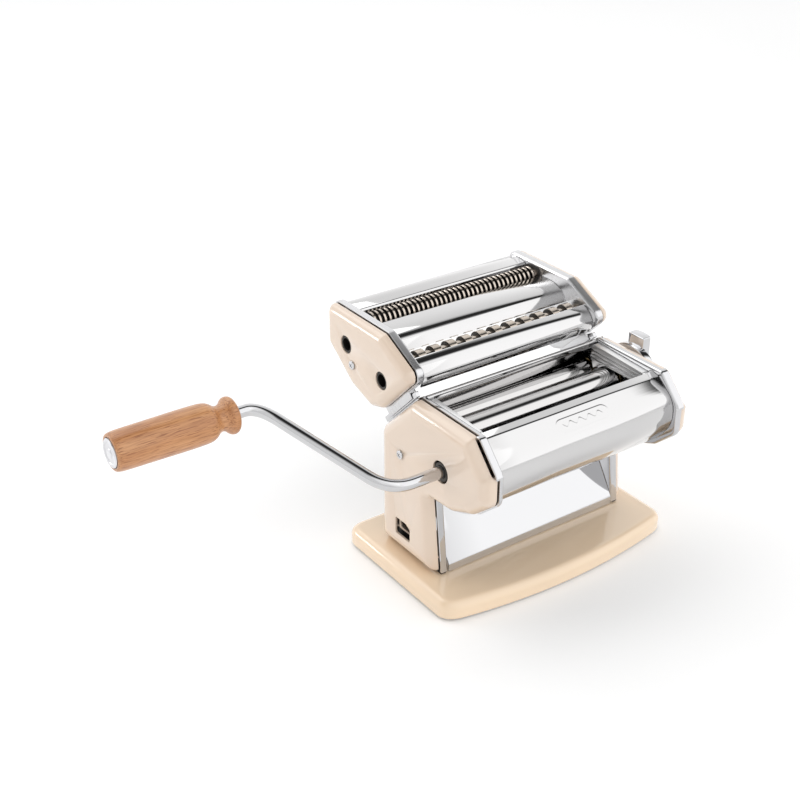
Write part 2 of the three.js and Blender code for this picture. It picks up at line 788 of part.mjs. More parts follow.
function crankPath() {
  const start = new THREE.Vector3(ROD_END, ...CRANK_AXIS);
  const elbow = new THREE.Vector3(ELBOW, ...CRANK_AXIS);
  const shoulder = new THREE.Vector3(SHOULDER, ...GRIP_AXIS);
  const end = new THREE.Vector3(SPINDLE_END, ...GRIP_AXIS);
  const arm = shoulder.clone().sub(elbow).normalize();
  const near = (point, direction, distance) =>
    point.clone().addScaledVector(direction, distance);
  const outwards = new THREE.Vector3(-1, 0, 0);
  const path = new THREE.CurvePath();
  const bends = [
    [near(elbow, outwards, -BEND), elbow, near(elbow, arm, BEND)],
    [near(shoulder, arm, -BEND), shoulder, near(shoulder, outwards, BEND * 0.56)],
  ];
  path.add(new THREE.LineCurve3(start, bends[0][0]));
  path.add(new THREE.QuadraticBezierCurve3(...bends[0]));
  path.add(new THREE.LineCurve3(bends[0][2], bends[1][0]));
  path.add(new THREE.QuadraticBezierCurve3(...bends[1]));
  path.add(new THREE.LineCurve3(bends[1][2], end));
  return path;
}

function buildCrank() {
  const section = new THREE.Shape().absarc(0, 0, ROD, 0, 2 * Math.PI);
  const rod = new THREE.ExtrudeGeometry(section, {
    extrudePath: crankPath(),
    steps: 44,
    curveSegments: 4,
  });
  add("crank_rod", rod, chrome);
  const along = ([distance, radius]) => [GRIP_NEAR - distance, radius];
  const far = GRIP[GRIP.length - 1];
  const wood = turned(
    GRIP_AXIS,
    [[GRIP_NEAR, 0], ...GRIP.map(along), [GRIP_NEAR - far[0], 0]].reverse(),
    24,
  );
  const bore = sideRod(GRIP_AXIS, GRIP_BORE, GRIP_NEAR + 2, GRIP_NEAR - CAP.from + 0.1, 10);
  const recess = sideRod(
    GRIP_AXIS,
    CAP.r + GAP,
    GRIP_NEAR - CAP.from + GAP,
    GRIP_NEAR - CAP.to - 1,
    16,
  );
  add("crank_grip", cut(wood, bore, recess), beech);
  const cap = turned(
    GRIP_AXIS,
    [
      [GRIP_NEAR - CAP.to, 0],
      [GRIP_NEAR - CAP.to, CAP.r - 1],
      [GRIP_NEAR - CAP.to + 0.7, CAP.r],
      [GRIP_NEAR - CAP.from, CAP.r],
      [GRIP_NEAR - CAP.from, 0],
    ],
    16,
  );
  add("grip_end_cap", cap, chrome);
}

// ------------------------------------------------------- cutter attachment

function cutterRoller({ pitch, sides }, centre, shift, leftEnd) {
  const { r, groove, journal } = CUTTER;
  const wheel = pitch / 2 - 0.35;
  const profile = [
    [leftEnd, 0],
    [leftEnd, journal],
    [-CUTTER_HALF - 1.4, journal],
    [-CUTTER_HALF - 1.4, groove],
  ];
  const first = -CUTTER_HALF + shift * (pitch / 2);
  for (let x = first; x + wheel <= CUTTER_HALF + 0.01; x += pitch) {
    profile.push([x, groove], [x, r], [x + wheel, r], [x + wheel, groove]);
  }
  profile.push(
    [CUTTER_HALF + 1.4, groove],
    [CUTTER_HALF + 1.4, journal],
    [SPAN + 2.6, journal],
    [SPAN + 2.6, 0],
  );
  return turned(centre, profile, sides);
}

function cutterGear(phase, centre, hasSocket) {
  const wheel = sideSolid(toothedShape(CUTTER_TEETH, phase), -CUTTER_GEAR_OUT, -GEAR_IN);
  const bore = sideRod([0, 0], CUTTER.journal + BORE_SLACK, -CUTTER_GEAR_OUT, -70, 10);
  const mouth = socketMouth(6, CUTTER_GEAR_OUT, CUTTER_TEETH.root);
  const socket = sideRod([0, 0], SOCKET, -FACE - 2, -CUTTER_GEAR_OUT - 1.2, 10);
  const throughBore = sideRod([0, 0], CUTTER.journal + BORE_SLACK, -90, -70, 10);
  const blank = hasSocket ? cut(join(wheel, mouth), bore, socket) : cut(wheel, throughBore);
  return blank.translate(0, ...centre);
}

function buildCutterRollers(name, pair, group) {
  const phase = matingPhase(CUTTER_TEETH, 0, pair.drive, CUTTER_TEETH, pair.mate);
  const end = -CUTTER_GEAR_OUT + GAP;
  add(name + "_drive_roller", cutterRoller(pair, pair.drive, 0, end), steel, group);
  add(name + "_mate_roller", cutterRoller(pair, pair.mate, 1, end), steel, group);
  add(name + "_drive_gear", cutterGear(0, pair.drive, true), steel, group);
  add(name + "_mate_gear", cutterGear(phase, pair.mate, false), steel, group);
}

const CUTTER_SHEETS = {
  cutter_rear_cover: [
    [84.2, 168.6],
    [85, 169.8],
    [95, 171.6],
    [101, 170],
    [103, 166],
    [103, 148],
    [99.6, 142],
  ],
  cutter_middle_cover: [
    [66.8, 163.6],
    [66, 165.4],
    [54, 165.6],
    [46, 163.6],
    [41.2, 160],
    [38.8, 154.6],
  ],
  cutter_front_cover: [
    [20.2, 157.2],
    [19.4, 159.4],
    [13.6, 157],
    [9.4, 152],
    [8.4, 147],
    [10.6, 142.4],
  ],
  fine_comb: [
    [89, 138],
    [86, 143.4],
    [83.2, 144.6],
  ],
  wide_comb: [
    [48, 124],
    [44.6, 131],
    [40.6, 133.8],
  ],
};

function buildCutter() {
  const cutter = new THREE.Group();
  const journals = [FINE.drive, FINE.mate, WIDE.drive, WIDE.mate];
  for (const [side, name] of [[-1, "left"], [1, "right"]]) {
    const bore = (centre, radius) =>
      sideRod(centre, radius, side * (SPAN - 3), side * (FACE + 3), 10);
    const plate = cut(
      join(pressedPlate(CUTTER_SIDE, side), railChannel(side)),
      ...journals.map((centre) => bore(centre, CUTTER.journal + BORE_SLACK)),
      bore(CUTTER_TIE, TIE + GAP),
    );
    add("cutter_" + name + "_plate", plate, chrome, cutter);
    const holes = [bore(CUTTER_SCREW, 2)];
    if (side < 0) holes.push(bore(FINE.drive, 6.5), bore(WIDE.drive, 6.5));
    const shell = dishedCover(inset(CUTTER_SIDE, CUTTER_COVER_INSET), side);
    add("cutter_" + name + "_cover", cut(shell, ...holes), cream, cutter);
    add("cutter_" + name + "_screw", coverScrew(CUTTER_SCREW, side), steel, cutter);
  }
  for (const [name, path] of Object.entries(CUTTER_SHEETS)) {
    add(name, crossSheet(path, 1), name.endsWith("comb") ? steel : chrome, cutter);
  }
  const end = SPAN + WEB + 1;
  add("cutter_tie_rod", sideRod(CUTTER_TIE, TIE, -end, end, 10), chrome, cutter);
  buildCutterRollers("fine", FINE, cutter);
  buildCutterRollers("wide", WIDE, cutter);
  machine.add(cutter);
}

buildBase();
buildMainSide(-1, "left");
buildMainSide(1, "right");
buildSheets();
buildSmoothRollers();
buildDrivePinion();
buildCarriage();
buildDial();
buildCrank();
buildCutter();

export default machine;
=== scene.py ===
# The looks of a manual pasta roller machine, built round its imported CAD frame.
#
# Every shape below is written in millimetres in the machine's own frame (+X along the rollers
# away from the crank, -Y towards the user, +Z up) and turned into metres when its mesh is made.

import json
import math

import bmesh
import bpy
from mathutils import Matrix, Vector


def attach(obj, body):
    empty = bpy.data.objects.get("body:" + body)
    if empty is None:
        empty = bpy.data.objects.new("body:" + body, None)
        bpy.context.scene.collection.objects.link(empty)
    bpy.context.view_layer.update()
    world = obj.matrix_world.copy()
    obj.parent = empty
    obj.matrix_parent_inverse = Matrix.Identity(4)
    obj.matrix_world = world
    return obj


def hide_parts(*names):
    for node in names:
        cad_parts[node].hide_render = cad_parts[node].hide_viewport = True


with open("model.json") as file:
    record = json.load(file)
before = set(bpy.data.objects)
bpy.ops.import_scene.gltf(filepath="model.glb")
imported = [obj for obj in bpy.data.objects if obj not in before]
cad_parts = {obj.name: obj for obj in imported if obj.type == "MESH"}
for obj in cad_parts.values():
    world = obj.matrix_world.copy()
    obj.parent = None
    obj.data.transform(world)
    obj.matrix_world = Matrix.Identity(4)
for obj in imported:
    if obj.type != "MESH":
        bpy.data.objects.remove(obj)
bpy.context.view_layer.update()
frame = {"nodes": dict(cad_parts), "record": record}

MM = 0.001
NODES = frame["nodes"]

# ------------------------------------------------------------------ dimensions

SPAN = 75.0  # inner face of a side plate
WEB = 1.5  # thickness of its flat web
RIM = 81.2  # outer edge of the rim folded round it
MAIN_RIM = 78.7  # the same at the main plates' top and chin, where the cover reaches inwards
FACE = 89.0  # outer face of a painted cover
SHEET_END = 74.7  # ends of the sheet covers
GAP = 0.8  # between a rim and the lip of its cover

# Outlines seen from the side: (y, z, corner radius)
MAIN_SIDE = [
    (4, 139.5, 5), (-61, 139.4, 5), (-77.6, 121.5, 2), (-79.3, 118.5, 2), (-79.3, 98.5, 9),
    (-61, 82.4, 10), (-41, 74, 22), (-17.4, 72.8, 3), (-24.4, 14.4, 1), (39.5, 14.4, 1),
    (39.5, 105, 8),
]
MAIN_COVER = [
    (3.6, 138.4, 6), (-57.5, 138.3, 6), (-74.6, 119.6, 3), (-78.2, 117.6, 3), (-78.2, 99, 9),
    (-60.4, 83.4, 10), (-40.8, 75.2, 22), (-16.4, 74, 3), (-22.8, 16, 3), (38.5, 16, 3),
    (38.5, 104.6, 9),
]
CUTTER_SIDE = [
    (104.5, 173.4, 6), (38, 173.4, 5), (5, 157.2, 6.8), (4.2, 149.8, 6.8), (37.9, 116.1, 8),
    (50, 112.3, 8), (74, 119.6, 10), (104.5, 142.5, 8),
]
CLAMP_HOLE = [(2, 28.8, 1.5), (19, 28.8, 1.5), (19, 42, 1.5), (6.8, 42, 1.5), (2, 39.6, 1.5)]

# Axes along X: (y, z)
FRONT_AXIS = (-14.0, 112.0)
REAR_AXIS = (12.0974, 107.3983)
REAR_CLOSED = (10.3247, 107.7108)  # the rear roller's axis at its smallest gap
CRANK_AXIS = (-31.6, 103.0)
GRIP_AXIS = (59.9, 135.7)
FINE = {"drive": (78, 150.5), "mate": (76.5, 162.8), "pitch": 4.0}
WIDE = {"drive": (35.6, 140.5), "mate": (29.3, 151.13), "pitch": 13.0}
CUTTER_TIE = (56, 125)
LOWER_ROD = (24, 31)
UPPER_ROD = (30, 62)
COVER_SCREW = (13, 94.5)
CUTTER_SCREW = (70.3, 138)

BEARING_SLOT = ((11.2107, 107.5546), (9.8, 8.8))  # middle and half size of the sliding blocks' slot
FOOT_SCREW = {"x": 78.6, "y": 8, "hole": 1.9}  # holds a side plate's foot to the base

# ------------------------------------------------------------------- materials


def principled(name, colour, metallic=0.0, roughness=0.4, coat=0.0, coat_roughness=0.03):
    mat = bpy.data.materials.new(name)
    mat.use_nodes = True
    shader = mat.node_tree.nodes["Principled BSDF"]
    shader.inputs["Base Color"].default_value = (*colour, 1)
    shader.inputs["Metallic"].default_value = metallic
    shader.inputs["Roughness"].default_value = roughness
    shader.inputs["Coat Weight"].default_value = coat
    shader.inputs["Coat Roughness"].default_value = coat_roughness
    return mat, mat.node_tree, shader


def noise(tree, scale, detail=3.0, stretch=(1, 1, 1), roughness=0.5):
    """Noise over the object's own coordinates, in metres; stretch scales each axis."""
    coord = tree.nodes.new("ShaderNodeTexCoord")
    mapping = tree.nodes.new("ShaderNodeMapping")
    mapping.inputs["Scale"].default_value = stretch
    texture = tree.nodes.new("ShaderNodeTexNoise")
    texture.inputs["Scale"].default_value = scale
    texture.inputs["Detail"].default_value = detail
    texture.inputs["Roughness"].default_value = roughness
    tree.links.new(coord.outputs["Object"], mapping.inputs["Vector"])
    tree.links.new(mapping.outputs["Vector"], texture.inputs["Vector"])
    return texture.outputs["Fac"]


def spread(tree, value, low, high, from_low=0.3, from_high=0.7):
    remap = tree.nodes.new("ShaderNodeMapRange")
    remap.inputs["From Min"].default_value = from_low
    remap.inputs["From Max"].default_value = from_high
    remap.inputs["To Min"].default_value = low
    remap.inputs["To Max"].default_value = high
    tree.links.new(value, remap.inputs["Value"])
    return remap.outputs["Result"]


def ramp(tree, value, stops):
    node = tree.nodes.new("ShaderNodeValToRGB")
    elements = node.color_ramp.elements
    while len(elements) < len(stops):
        elements.new(0.5)
    for element, (position, colour) in zip(elements, stops):
        element.position = position
        element.color = (*colour, 1)
    tree.links.new(value, node.inputs["Fac"])
    return node.outputs["Color"]


def bump(tree, shader, heights):
    """Chained bumps from (value, strength, distance in metres)."""
    normal = None
    for value, strength, distance in heights:
        node = tree.nodes.new("ShaderNodeBump")
        node.inputs["Strength"].default_value = strength
        node.inputs["Distance"].default_value = distance
        tree.links.new(value, node.inputs["Height"])
        if normal is not None:
            tree.links.new(normal, node.inputs["Normal"])
        normal = node.outputs["Normal"]
    tree.links.new(normal, shader.inputs["Normal"])


def enamel(name, colour):
    """Glossy paint with a slight drift in its tone."""
    mat, tree, shader = principled(name, colour, 0.0, 0.27, 1.0, 0.05)
    tone = noise(tree, 14, 1)
    low, high = (tuple(c * k for c in colour) for k in (0.985, 1.015))
    shade = ramp(tree, tone, [(0.3, low), (0.7, high)])
    tree.links.new(shade, shader.inputs["Base Color"])
    return mat


def chromed(name, low=0.03, high=0.08, colour=(0.62, 0.62, 0.63), streaks=0.0, waves=0.04):
    """Plated metal with uneven gloss, a slight waviness and, if asked, streaks along X."""
    mat, tree, shader = principled(name, colour, 1.0, low)
    smears = noise(tree, 30, 5, (1, 1, 1), 0.65)
    tree.links.new(spread(tree, smears, low, high), shader.inputs["Roughness"])
    heights = [(noise(tree, 22, 1), waves, 0.0008)]
    if streaks:
        heights.append((noise(tree, 1400, 2, (0.012, 1, 1)), streaks, 0.0001))
    bump(tree, shader, heights)
    return mat


def turned_steel(name, colour, low, high, lines=0.08):
    """Machined metal with turning marks."""
    mat, tree, shader = principled(name, colour, 1.0, low)
    marks = noise(tree, 900, 3, (1, 0.08, 0.08))
    tree.links.new(spread(tree, marks, low, high), shader.inputs["Roughness"])
    tone = noise(tree, 120, 3)
    dim = tuple(0.8 * c for c in colour)
    tree.links.new(ramp(tree, tone, [(0.25, dim), (0.6, colour)]), shader.inputs["Base Color"])
    bump(tree, shader, [(marks, lines, 0.0001)])
    return mat


def beech():
    mat, tree, shader = principled("varnished_beech", (0.6, 0.33, 0.16), 0.0, 0.35, 0.35, 0.15)
    broad = noise(tree, 90, 4, (0.12, 1, 1), 0.6)
    fine = noise(tree, 900, 3, (0.05, 1, 1), 0.6)
    flecks = noise(tree, 1500, 2, (0.06, 1, 1), 0.4)
    base = ramp(
        tree, broad,
        [(0.3, (0.45, 0.19, 0.07)), (0.5, (0.55, 0.26, 0.105)), (0.7, (0.63, 0.33, 0.15))],
    )
    grain = ramp(tree, fine, [(0.35, (0.7, 0.62, 0.56)), (0.6, (1, 1, 1))])
    pores = ramp(tree, flecks, [(0.34, (0.5, 0.36, 0.27)), (0.44, (1, 1, 1))])
    colour = base
    for layer in (grain, pores):
        mix = tree.nodes.new("ShaderNodeMix")
        mix.data_type = "RGBA"
        mix.blend_type = "MULTIPLY"
        mix.inputs[0].default_value = 0.75
        tree.links.new(colour, mix.inputs[6])
        tree.links.new(layer, mix.inputs[7])
        colour = mix.outputs[2]
    tree.links.new(colour, shader.inputs["Base Color"])
    tree.links.new(spread(tree, fine, 0.3, 0.48), shader.inputs["Roughness"])
    bump(tree, shader, [(fine, 0.12, 0.0002), (flecks, 0.15, 0.0001)])
    return mat


def moulded(name, colour, roughness, grain=300):
    mat, tree, shader = principled(name, colour, 0.0, roughness)
    tone = noise(tree, 80, 3)
    dim = tuple(0.82 * c for c in colour)
    tree.links.new(ramp(tree, tone, [(0.3, dim), (0.7, colour)]), shader.inputs["Base Color"])
    bump(tree, shader, [(noise(tree, grain, 3), 0.15, 0.0003)])
    return mat


ENAMEL = enamel("cream_enamel", (0.745, 0.605, 0.485))
# The base gets its own warmer, more saturated cream than the covers.
BASE_ENAMEL = enamel("cream_base_enamel", (0.86, 0.67, 0.475))
CHROME = chromed("polished_chrome")
SHEET_CHROME = chromed("chromed_sheet", 0.05, 0.1, (0.63, 0.625, 0.625), 0.03, 0.04)
PLATE_CHROME = chromed("plate_chrome", 0.24, 0.32, (0.64, 0.64, 0.65), 0.0, 0.0)
SATIN_CHROME = chromed("satin_chrome", 0.3, 0.4, (0.86, 0.86, 0.86), 0.05, 0.0)
ROD_CHROME = chromed("chromed_rod", 0.04, 0.08, (0.6, 0.6, 0.61), 0.03, 0.02)
ROLLER_STEEL = chromed("polished_roller_steel", 0.06, 0.12, (0.6, 0.59, 0.585), 0.04, 0.01)
CUTTER_STEEL = turned_steel("cutter_steel", (0.6, 0.53, 0.46), 0.14, 0.26)
GROUND_STEEL = turned_steel("ground_steel", (0.5, 0.5, 0.51), 0.22, 0.4)
# dark oiled steel for the gears and pinion, and also the colour of the painted shade on the side
# plates and cutter wheels
DARK_STEEL = turned_steel("oiled_steel_and_painted_shade", (0.07, 0.065, 0.06), 0.35, 0.55)
BRASS = turned_steel("machined_brass", (0.62, 0.45, 0.2), 0.2, 0.38)
BEECH = beech()
CAP_METAL = turned_steel("grip_cap_metal", (0.74, 0.74, 0.76), 0.26, 0.34, 0.02)
RUBBER = moulded("black_rubber", (0.018, 0.018, 0.02), 0.75, 700)
NYLON = moulded("white_nylon", (0.75, 0.73, 0.68), 0.45)
MARK = moulded("mark_black", (0.012, 0.012, 0.013), 0.5, 500)

SLOT_MATERIALS = {
    "cream_paint": ENAMEL, "chrome": CHROME, "steel": GROUND_STEEL, "brass": BRASS,
    "beech": BEECH, "rubber": RUBBER, "nylon": NYLON,
}
SLOT_OF = {entry["node"]: entry["material_slot"] for entry in frame["record"]["subparts"]}

for node_name, node_object in NODES.items():
    node_object.data.materials.clear()
    # Gears, the pinion, its bush and the cam get dark oiled steel, which also paints the shade
    # inside the sockets seen through the covers' holes.
    oiled_and_shaded = "gear" in node_name or node_name in ("drive_pinion", "pinion_bush", "gap_cam")
    look = DARK_STEEL if oiled_and_shaded else SLOT_MATERIALS[SLOT_OF[node_name]]
    node_object.data.materials.append(look)

# ---------------------------------------------------------------- mesh helpers


def finish_mesh(mesh_data, bevel=0.0, bevel_angle=50, smooth=32, segments=2):
    """Weld, face outwards, round the sharp edges a little, and shade smooth where it is smooth."""
    bmesh.ops.remove_doubles(mesh_data, verts=mesh_data.verts, dist=2e-6)
    bmesh.ops.recalc_face_normals(mesh_data, faces=mesh_data.faces)
    if bevel:
        limit = math.radians(bevel_angle)
        sharp = [e for e in mesh_data.edges if e.is_manifold and e.calc_face_angle(0) > limit]
        bmesh.ops.bevel(
            mesh_data, geom=sharp, offset=bevel * MM, segments=segments, profile=0.5,
            affect="EDGES", clamp_overlap=True,
        )
    for face in mesh_data.faces:
        face.smooth = True
    for edge in mesh_data.edges:
        edge.smooth = edge.is_manifold and edge.calc_face_angle(0) < math.radians(smooth)


def to_bmesh(verts, faces):
    mesh_data = bmesh.new()
    made = [mesh_data.verts.new([c * MM for c in v]) for v in verts]
    for face in faces:
        if len(set(face)) > 2:
            mesh_data.faces.new([made[i] for i in face])
    return mesh_data


def place(name, mesh_data, look, body, slot, replaced=(), **finishing):
    """Make the finished object, let it ride its body and take over the nodes it replaces."""
    finish_mesh(mesh_data, **finishing)
    mesh = bpy.data.meshes.new(name)
    mesh_data.to_mesh(mesh)
    mesh_data.free()
    mesh.materials.append(look)
    piece = bpy.data.objects.new(name, mesh)
    bpy.context.scene.collection.objects.link(piece)
    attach(piece, body)
    if replaced:
        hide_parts(*replaced)
    return piece


def paint_shade(piece, chosen):
    """Painted shade: the dark oiled-steel colour on the faces that chosen(x, y, z, normal) picks by
    their middle.
    """
    piece.data.materials.append(DARK_STEEL)
    for face in piece.data.polygons:
        if chosen(*(c / MM for c in face.center), face.normal):
            face.material_index = 1


def combined(parts):
    """One bmesh from several, without joining their surfaces."""
    whole = parts[0]
    for part in parts[1:]:
        mesh = bpy.data.meshes.new("part")
        part.to_mesh(mesh)
        whole.from_mesh(mesh)
        bpy.data.meshes.remove(mesh)
        part.free()
    return whole


def boolean(mesh_data, tools, operation="DIFFERENCE"):
    """Solid boolean with the exact solver; every tool is closed."""
    objects = []
    for part in (mesh_data, *tools):
        bmesh.ops.recalc_face_normals(part, faces=part.faces)
        mesh = bpy.data.meshes.new("solid")
        part.to_mesh(mesh)
        part.free()
        solid = bpy.data.objects.new("solid", mesh)
        bpy.context.scene.collection.objects.link(solid)
        objects.append(solid)
    for tool in objects[1:]:
        modifier = objects[0].modifiers.new("cut", "BOOLEAN")
        modifier.operation = operation
        modifier.solver = "EXACT"
        modifier.object = tool
    evaluated = objects[0].evaluated_get(bpy.context.evaluated_depsgraph_get())
    result = bmesh.new()
    result.from_mesh(evaluated.to_mesh())
    evaluated.to_mesh_clear()
    for solid in objects:
        mesh = solid.data
        bpy.data.objects.remove(solid)
        bpy.data.meshes.remove(mesh)
    return result


def rotation_x(degrees):
    return Matrix.Rotation(math.radians(degrees), 3, "X")


def heading(start, end):
    dy, dz = end[0] - start[0], end[1] - start[1]
    length = math.hypot(dy, dz)
    return dy / length, dz / length


def winding(corners):
    """1 for an outline that runs counterclockwise, -1 for one that runs clockwise."""
    area = sum(
        p[0] * q[1] - q[0] * p[1] for p, q in zip(corners, [*corners[1:], corners[0]])
    )
    return 1 if area > 0 else -1


def inset(corners, distance):
    """The outline moved inwards, corner by corner, so that it keeps its number of corners."""
    side = winding(corners)
    moved = []
    for i, (y, z, radius) in enumerate(corners):
        before = heading(corners[i - 1], corners[i])
        after = heading(corners[i], corners[(i + 1) % len(corners)])
        first = (-before[1] * side, before[0] * side)
        second = (-after[1] * side, after[0] * side)
        share = distance / (1 + first[0] * second[0] + first[1] * second[1])
        convex = side * (before[0] * after[1] - before[1] * after[0]) > 0
        rounder = max(0.25, radius - distance if convex else radius + distance)
        moved.append((
            y + (first[0] + second[0]) * share, z + (first[1] + second[1]) * share, rounder,
        ))
    return moved


def closed_up(corners, distance):
    """The inset outline, with the edges that are too short for it closed up into one corner."""
    corners = list(corners)
    while True:
        moved, total = inset(corners, distance), len(corners)
        for i in range(total):
            j = (i + 1) % total
            along = heading(corners[i], corners[j])
            left = (moved[j][0] - moved[i][0]) * along[0] + (moved[j][1] - moved[i][1]) * along[1]
            if left < 0.9 * (moved[i][2] + moved[j][2]) and left < 3:
                break
        else:
            return moved
        before, after = corners[i - 1], corners[(j + 1) % total]
        first, second = heading(before, corners[i]), heading(corners[j], after)
        across = first[0] * second[1] - first[1] * second[0]
        gap = (corners[j][0] - corners[i][0], corners[j][1] - corners[i][1])
        reach = (gap[0] * second[1] - gap[1] * second[0]) / across
        corners[i] = (
            corners[i][0] + first[0] * reach, corners[i][1] + first[1] * reach,
            max(corners[i][2], corners[j][2]),
        )
        del corners[j]


def nearest(point, outline):
    """The spot on a closed outline that is nearest to a point."""
    best = None
    for a, b in zip(outline, [*outline[1:], outline[0]]):
        dy, dz = b[0] - a[0], b[1] - a[1]
        size = dy * dy + dz * dz
        if size < 1e-12:
            continue
        t = max(0.0, min(1.0, ((point[0] - a[0]) * dy + (point[1] - a[1]) * dz) / size))
        spot = (a[0] + dy * t, a[1] + dz * t)
        away = math.dist(point, spot)
        if best is None or away < best[0]:
            best = (away, spot)
    return best[1]


def shrink(corners, side, profile):
    """Rings for (x, inset) pairs: each moves from the outline towards its deepest inset."""
    outer = rounded(corners)
    deepest = max(distance for _, distance in profile)
    target = rounded(closed_up(corners, deepest))
    inner = [nearest(point, target) for point in outer]
    return [
        (side * x, [
            (p[0] + (q[0] - p[0]) * distance / deepest, p[1] + (q[1] - p[1]) * distance / deepest)
            for p, q in zip(outer, inner)
        ])
        for x, distance in profile
    ]


def rounded(corners, steps=7):
    """Points round the outline, with a true arc at each corner."""
    points = []
    for i, (y, z, radius) in enumerate(corners):
        back = heading((y, z), corners[i - 1])
        ahead = heading((y, z), corners[(i + 1) % len(corners)])
        half = math.acos(max(-1, min(1, back[0] * ahead[0] + back[1] * ahead[1]))) / 2
        reach = radius / math.tan(half)
        away = radius / math.sin(half)
        middle = (back[0] + ahead[0], back[1] + ahead[1])
        size = math.hypot(*middle)
        centre = (y + middle[0] / size * away, z + middle[1] / size * away)
        arm = (y + back[0] * reach - centre[0], z + back[1] * reach - centre[1])
        turn = math.pi - 2 * half
        if back[0] * ahead[1] - back[1] * ahead[0] > 0:
            turn = -turn
        for k in range(steps + 1):
            c, s = math.cos(turn * k / steps), math.sin(turn * k / steps)
            points.append((
                centre[0] + arm[0] * c - arm[1] * s, centre[1] + arm[0] * s + arm[1] * c,
            ))
    return points


def circle(centre, radius, count=48):
    return [
        (centre[0] + radius * math.cos(2 * math.pi * k / count),
         centre[1] + radius * math.sin(2 * math.pi * k / count))
        for k in range(count)
    ]


def quadratic(start, control, end, t):
    return tuple(
        (1 - t) ** 2 * a + 2 * t * (1 - t) * b + t * t * c for a, b, c in zip(start, control, end)
    )


def solid_of_rings(verts, count):
    """A closed solid from rings of count points each, with a flat face at both ends."""
    last = len(verts) - count
    faces = [tuple(range(count))[::-1]]
    for first in range(0, last, count):
        for k in range(count):
            a, b = first + k, first + (k + 1) % count
            faces.append((a, b, b + count, a + count))
    faces.append(tuple(range(last, last + count)))
    return to_bmesh(verts, faces)


def loft(rings):
    """A closed solid through rings of (x, [(y, z), ...]), all with the same number of points."""
    verts = [(x, y, z) for x, outline in rings for y, z in outline]
    return solid_of_rings(verts, len(rings[0][1]))


def prism(outline, start, end):
    return loft([(start, outline), (end, outline)])


def rod(centre, radius, start, end, count=40, chamfer=0.0):
    if not chamfer:
        return prism(circle(centre, radius, count), start, end)
    step = chamfer if end > start else -chamfer
    narrow, full = circle(centre, radius - chamfer, count), circle(centre, radius, count)
    return loft([(start, narrow), (start + step, full), (end - step, full), (end, narrow)])


def upright_rod(x, y, radius, low, high, count=24):
    ring = circle((x, y), radius, count)
    return solid_of_rings([(px, py, z) for z in (low, high) for px, py in ring], count)


def box(low, high):
    (x0, y0, z0), (x1, y1, z1) = low, high
    verts = [(x, y, z) for x in (x0, x1) for y in (y0, y1) for z in (z0, z1)]
    faces = [(0, 1, 3, 2), (4, 6, 7, 5), (0, 4, 5, 1), (2, 3, 7, 6), (0, 2, 6, 4), (1, 5, 7, 3)]
    return to_bmesh(verts, faces)


def lathe(profile, centre, count=64):
    """A solid of revolution about an axis along X, from (x, radius) points; its ends are closed."""
    rings = [(x, circle(centre, max(radius, 0.02), count)) for x, radius in profile]
    return loft(rings)


def smooth_path(points, steps=7):
    """Points along a path whose corners (a, b, reach) are rounded over that reach."""
    path = [tuple(points[0][:2])]
    last = len(points) - 1
    for i in range(1, last):
        (py, pz), (y, z, reach), (ny, nz) = points[i - 1][:2], points[i], points[i + 1][:2]
        before, after = math.dist((py, pz), (y, z)), math.dist((ny, nz), (y, z))
        room_before = before * (1 if i == 1 else 0.5) * 0.98
        room_after = after * (1 if i == last - 1 else 0.5) * 0.98
        r1, r2 = min(reach, room_before), min(reach, room_after)
        start = (y + (py - y) * r1 / before, z + (pz - z) * r1 / before)
        end = (y + (ny - y) * r2 / after, z + (nz - z) * r2 / after)
        path += [quadratic(start, (y, z), end, k / steps) for k in range(steps + 1)]
    path.append(tuple(points[-1][:2]))
    kept = [path[0]]
    for point in path[1:]:
        if math.dist(point, kept[-1]) > 0.05:
            kept.append(point)
    return kept


def strip(path, thickness, relief=None, x=0.0):
    """Closed section of a bent sheet round a path."""
    half = thickness / 2
    normals = []
    for i in range(len(path)):
        before = heading(path[max(0, i - 1)], path[max(1, i)])
        after = heading(path[min(len(path) - 2, i)], path[min(len(path) - 1, i + 1)])
        ny, nz = -(before[1] + after[1]), before[0] + after[0]
        size = math.hypot(ny, nz)
        normals.append((ny / size, nz / size))
    section = list(zip(path, normals, [relief(x, p) if relief else 0.0 for p in path]))
    upper = [(p[0] + n[0] * (half + d), p[1] + n[1] * (half + d)) for p, n, d in section]
    lower = [(p[0] - n[0] * (half - d), p[1] - n[1] * (half - d)) for p, n, d in section]
    return [*upper, *lower[::-1]]


def sheet(path, thickness, relief=None, stations=()):
    """A bent sheet between the side plates, a little thinner at its two ends."""
    edges = [-SHEET_END, -SHEET_END + 0.3, *stations, SHEET_END - 0.3, SHEET_END]
    rings = []
    for x in edges:
        thin = thickness - 0.4 if abs(x) == SHEET_END else thickness
        rings.append((x, strip(path, thin, relief, x)))
    return loft(rings)


def arc(start, end, steps):
    """Angles in radians between two in degrees."""
    return [math.radians(start + (end - start) * k / steps) for k in range(steps + 1)]


# ------------------------------------------------------------- base and rubber

# Seen from above: half width, rear and front edges, radius of the bowed front, corner size;
# then the height of the top, the radius of its edge and the thickness of the steel
BASE = {
    "half": 100.2, "rear": 66.0, "front": -66.2, "bow": 441.0, "corner": 13.0,
    "top": 14.0, "edge": 6.0, "wall": 2.0,
}


